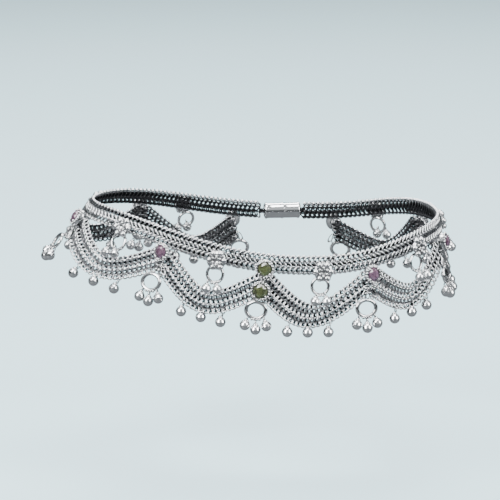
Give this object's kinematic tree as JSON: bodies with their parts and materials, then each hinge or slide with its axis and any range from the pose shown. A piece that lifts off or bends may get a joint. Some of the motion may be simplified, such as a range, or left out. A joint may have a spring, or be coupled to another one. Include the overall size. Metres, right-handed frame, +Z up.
{
  "type": "payal anklet",
  "caption": "Woven silver payal anklet with a skirt of woven scallops, small round bells, hanging rings, and olive and pink stones in cups, in its worn form.",
  "frame": {"origin": "middle of the ankle hollow, level with the mean height of the band's top edge", "axes": "+X towards the heel, -X towards the instep, -Y the side with the middle joint, +Z up the leg"},
  "size_m": [0.1192, 0.0762, 0.0318],
  "materials": {
    "woven_silver": "woven white metal links, bright on their crests and dark in the recesses",
    "bright_silver": "polished white metal with light tarnish in the recesses",
    "olive_stone": "faceted olive-green glass stone",
    "pink_stone": "faceted dusky pink glass stone"
  },
  "bodies": {
    "root": {"band_chain": "woven_silver", "clasp": "bright_silver", "swag_1": "woven_silver", "flower_1": "bright_silver", "inner_drop_1": "bright_silver", "swag_2": "woven_silver", "flower_2": "bright_silver", "inner_drop_2": "bright_silver", "swag_3": "woven_silver", "flower_3": "bright_silver", "inner_drop_3": "bright_silver", "swag_4": "woven_silver", "flower_4": "bright_silver", "inner_drop_4": "bright_silver", "swag_5": "woven_silver", "flower_5": "bright_silver", "inner_drop_5": "bright_silver", "swag_6": "woven_silver", "flower_6": "bright_silver", "inner_drop_6": "bright_silver", "swag_7": "woven_silver", "flower_7": "bright_silver", "inner_drop_7": "bright_silver", "swag_8": "woven_silver", "flower_8": "bright_silver", "inner_drop_8": "bright_silver", "joint_drop_1": "bright_silver", "joint_drop_2": "bright_silver", "joint_drop_3": "bright_silver", "joint_drop_4": "bright_silver", "joint_drop_5": "bright_silver", "joint_drop_6": "bright_silver", "joint_drop_7": "bright_silver", "joint_drop_8": "bright_silver", "joint_drop_9": "bright_silver", "setting_middle_upper": "bright_silver", "stone_middle_upper": "olive_stone", "setting_middle_lower": "bright_silver", "stone_middle_lower": "olive_stone", "setting_1": "bright_silver", "stone_1": "pink_stone", "setting_2": "bright_silver", "stone_2": "pink_stone", "setting_3": "bright_silver", "stone_3": "pink_stone", "setting_4": "bright_silver", "stone_4": "pink_stone", "setting_6": "bright_silver", "stone_6": "pink_stone", "setting_7": "bright_silver", "stone_7": "pink_stone", "setting_8": "bright_silver", "stone_8": "pink_stone", "setting_9": "bright_silver", "stone_9": "pink_stone"}
  },
  "joints": []
}
